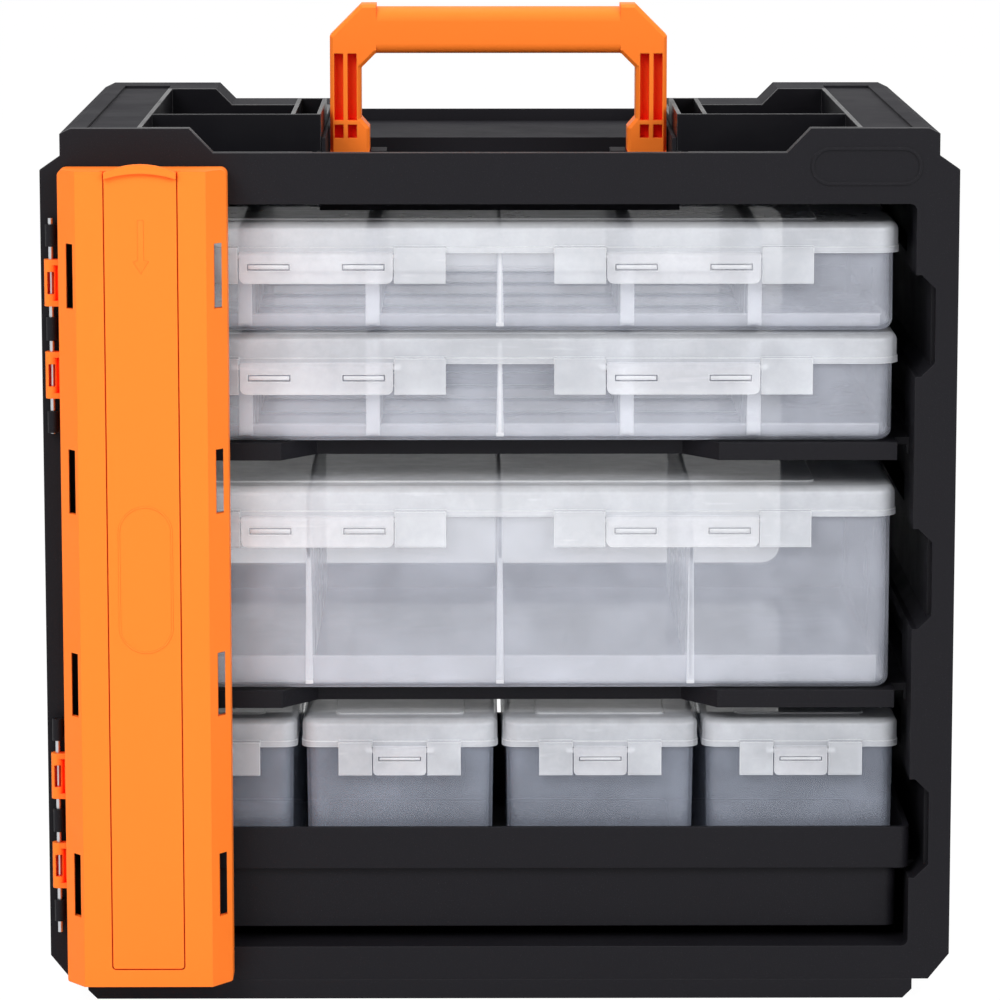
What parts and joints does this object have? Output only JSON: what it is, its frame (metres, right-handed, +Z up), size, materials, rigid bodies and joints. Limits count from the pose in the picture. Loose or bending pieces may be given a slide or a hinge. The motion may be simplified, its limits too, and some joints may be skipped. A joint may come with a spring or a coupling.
{
  "type": "drawer storage rack",
  "caption": "Carry rack for small parts: open-fronted frame with shelves, hinged locking bar, folding handle, latched clear cases and a drawer of lidded boxes.",
  "frame": {"origin": "centre of the plinth's underside, on the surface that the rack stands on", "axes": "+Z up, -Y out of the open front, +X to the right as seen from the front"},
  "size_m": [0.39, 0.2972, 0.4237],
  "materials": {
    "black_plastic": "fine grained",
    "deck_plastic": "fine grained",
    "orange_plastic": "satin",
    "clear_plastic": "frosted",
    "steel": "drawn"
  },
  "bodies": {
    "rack": {"front_frame": "black_plastic", "side_panel_left": "black_plastic", "side_panel_right": "black_plastic", "back_panel": "black_plastic", "frame_screws": "steel", "base_plinth": "black_plastic", "shelf_lower": "black_plastic", "shelf_upper": "black_plastic", "top_deck": "deck_plastic", "tool_tray_left": "deck_plastic", "tool_tray_right": "deck_plastic", "hinge_pin_lower": "steel", "hinge_pin_upper": "steel", "handle_pivot_pins": "steel"},
    "handle": {"carry_handle": "orange_plastic"},
    "gate": {"gate_bar": "orange_plastic"},
    "gate_cover": {"gate_cover": "orange_plastic"},
    "case_top": {"case_top_base": "clear_plastic", "case_top_lid": "clear_plastic", "case_top_dividers": "clear_plastic"},
    "case_top_latch_left": {"case_top_latch_left": "clear_plastic"},
    "case_top_latch_right": {"case_top_latch_right": "clear_plastic"},
    "case_mid": {"case_mid_base": "clear_plastic", "case_mid_lid": "clear_plastic", "case_mid_dividers": "clear_plastic"},
    "case_mid_latch_left": {"case_mid_latch_left": "clear_plastic"},
    "case_mid_latch_right": {"case_mid_latch_right": "clear_plastic"},
    "case_deep": {"case_deep_base": "clear_plastic", "case_deep_lid": "clear_plastic", "case_deep_dividers": "clear_plastic"},
    "case_deep_latch_left": {"case_deep_latch_left": "clear_plastic"},
    "case_deep_latch_right": {"case_deep_latch_right": "clear_plastic"},
    "drawer": {"drawer": "black_plastic", "box_1_base": "clear_plastic", "box_1_lid": "clear_plastic", "box_2_base": "clear_plastic", "box_2_lid": "clear_plastic", "box_3_base": "clear_plastic", "box_3_lid": "clear_plastic", "box_4_base": "clear_plastic", "box_4_lid": "clear_plastic"},
    "box_1_latch": {"box_1_latch": "clear_plastic"},
    "box_2_latch": {"box_2_latch": "clear_plastic"},
    "box_3_latch": {"box_3_latch": "clear_plastic"},
    "box_4_latch": {"box_4_latch": "clear_plastic"}
  },
  "joints": [
    {"name": "handle_fold", "type": "hinge", "parent": "rack", "child": "handle", "pos_m": [0, 0, 0.3541], "axis": [1, 0, 0], "range_deg": [0, 90]},
    {"name": "gate_swing", "type": "hinge", "parent": "rack", "child": "gate", "pos_m": [-0.1903, -0.1384, 0.1899], "axis": [0, 0, -1], "range_deg": [0, 160]},
    {"name": "gate_cover_slide", "type": "slide", "parent": "gate", "child": "gate_cover", "axis": [0, 0, 1], "range_m": [0, 0.02]},
    {"name": "case_top_slide", "type": "slide", "parent": "rack", "child": "case_top", "axis": [0, -1, 0], "range_m": [0, 0.004]},
    {"name": "case_top_latch_left_flip", "type": "hinge", "parent": "case_top", "child": "case_top_latch_left", "pos_m": [-0.0784, -0.1284, 0.3236], "axis": [-1, 0, 0], "range_deg": [0, 100]},
    {"name": "case_top_latch_right_flip", "type": "hinge", "parent": "case_top", "child": "case_top_latch_right", "pos_m": [0.0784, -0.1284, 0.3236], "axis": [-1, 0, 0], "range_deg": [0, 100]},
    {"name": "case_mid_slide", "type": "slide", "parent": "rack", "child": "case_mid", "axis": [0, -1, 0], "range_m": [0, 0.004]},
    {"name": "case_mid_latch_left_flip", "type": "hinge", "parent": "case_mid", "child": "case_mid_latch_left", "pos_m": [-0.0784, -0.1284, 0.276], "axis": [-1, 0, 0], "range_deg": [0, 100]},
    {"name": "case_mid_latch_right_flip", "type": "hinge", "parent": "case_mid", "child": "case_mid_latch_right", "pos_m": [0.0784, -0.1284, 0.276], "axis": [-1, 0, 0], "range_deg": [0, 100]},
    {"name": "case_deep_slide", "type": "slide", "parent": "rack", "child": "case_deep", "axis": [0, -1, 0], "range_m": [0, 0.004]},
    {"name": "case_deep_latch_left_flip", "type": "hinge", "parent": "case_deep", "child": "case_deep_latch_left", "pos_m": [-0.0784, -0.1284, 0.2098], "axis": [-1, 0, 0], "range_deg": [0, 100]},
    {"name": "case_deep_latch_right_flip", "type": "hinge", "parent": "case_deep", "child": "case_deep_latch_right", "pos_m": [0.0784, -0.1284, 0.2098], "axis": [-1, 0, 0], "range_deg": [0, 100]},
    {"name": "drawer_slide", "type": "slide", "parent": "rack", "child": "drawer", "axis": [0, -1, 0], "range_m": [0, 0.008]},
    {"name": "box_1_latch_flip", "type": "hinge", "parent": "drawer", "child": "box_1_latch", "pos_m": [-0.1305, -0.12265, 0.1076], "axis": [-1, 0, 0], "range_deg": [0, 100]},
    {"name": "box_2_latch_flip", "type": "hinge", "parent": "drawer", "child": "box_2_latch", "pos_m": [-0.0435, -0.12265, 0.1076], "axis": [-1, 0, 0], "range_deg": [0, 100]},
    {"name": "box_3_latch_flip", "type": "hinge", "parent": "drawer", "child": "box_3_latch", "pos_m": [0.0435, -0.12265, 0.1076], "axis": [-1, 0, 0], "range_deg": [0, 100]},
    {"name": "box_4_latch_flip", "type": "hinge", "parent": "drawer", "child": "box_4_latch", "pos_m": [0.1305, -0.12265, 0.1076], "axis": [-1, 0, 0], "range_deg": [0, 100]}
  ]
}
